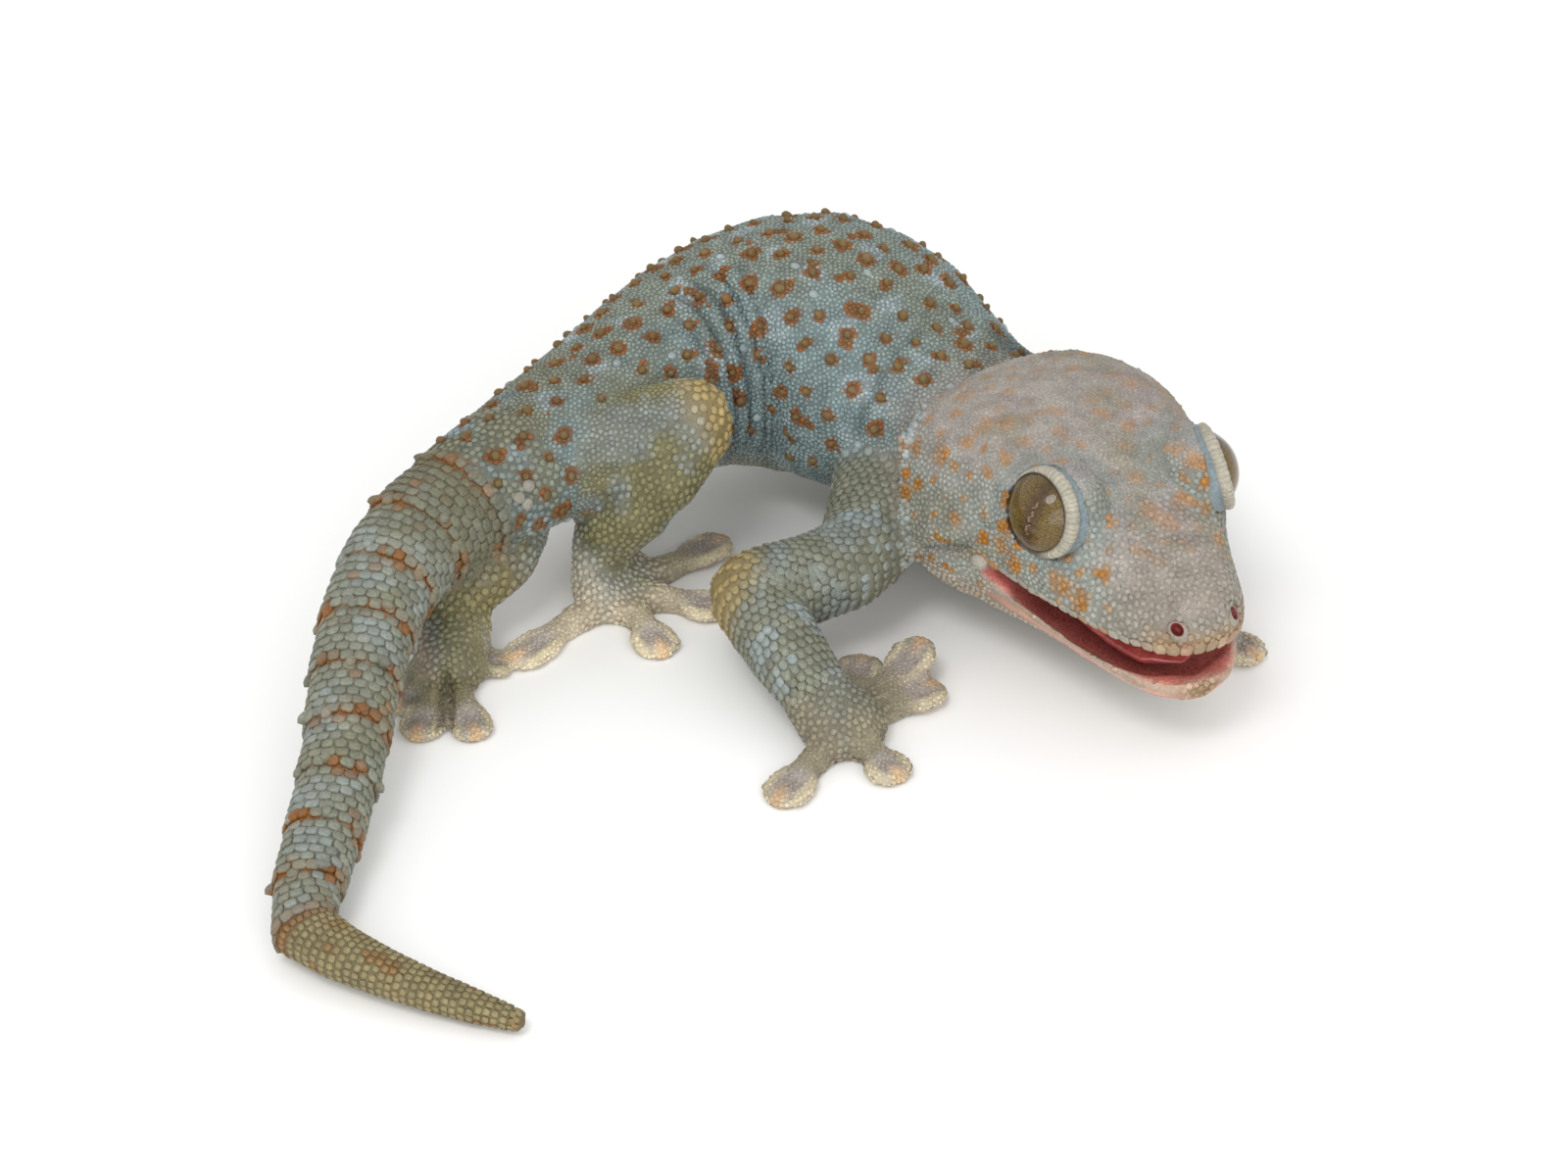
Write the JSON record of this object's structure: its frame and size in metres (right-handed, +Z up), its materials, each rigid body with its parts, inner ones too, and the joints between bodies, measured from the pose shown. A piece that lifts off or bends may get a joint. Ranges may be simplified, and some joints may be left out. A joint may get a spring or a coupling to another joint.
{
  "type": "gecko",
  "caption": "Life-size standing tokay gecko with its trunk bent, head and tail turned to its right, mouth ajar, toes spread and a regrown tail tip.",
  "frame": {"origin": "on the floor below the centre of the bounding box", "axes": "+Z up. The picture looks along +Y from 35 degrees above the floor, so -Y is nearest that camera and +X is to its right. The head points to +X and -Y; the tail lies on the -X side."},
  "size_m": [0.1249, 0.1364, 0.0395],
  "materials": {
    "skin": "granular blue-grey scales with rust-orange spots",
    "head_skin": "fine lilac-grey scales",
    "regrown_skin": "olive-tan scales in even rings",
    "toe_skin": "fine grey-tan scales",
    "eye": "glossy",
    "mouth": "moist"
  },
  "bodies": {
    "root": {"head": "head_skin", "lower_jaw": "head_skin", "tongue": "mouth", "eye_left": "eye", "eye_right": "eye", "neck": "skin", "chest": "skin", "trunk": "skin", "loin": "skin", "pelvis": "skin", "tail_base": "skin", "tail_upper": "skin", "tail_middle": "skin", "tail_lower": "skin", "tail_regrown": "regrown_skin", "upper_arm_front_right": "skin", "forearm_front_right": "skin", "hand_front_right": "toe_skin", "upper_arm_front_left": "skin", "forearm_front_left": "skin", "hand_front_left": "toe_skin", "thigh_hind_right": "skin", "shank_hind_right": "skin", "foot_hind_right": "toe_skin", "thigh_hind_left": "skin", "shank_hind_left": "skin", "foot_hind_left": "toe_skin"}
  },
  "joints": []
}
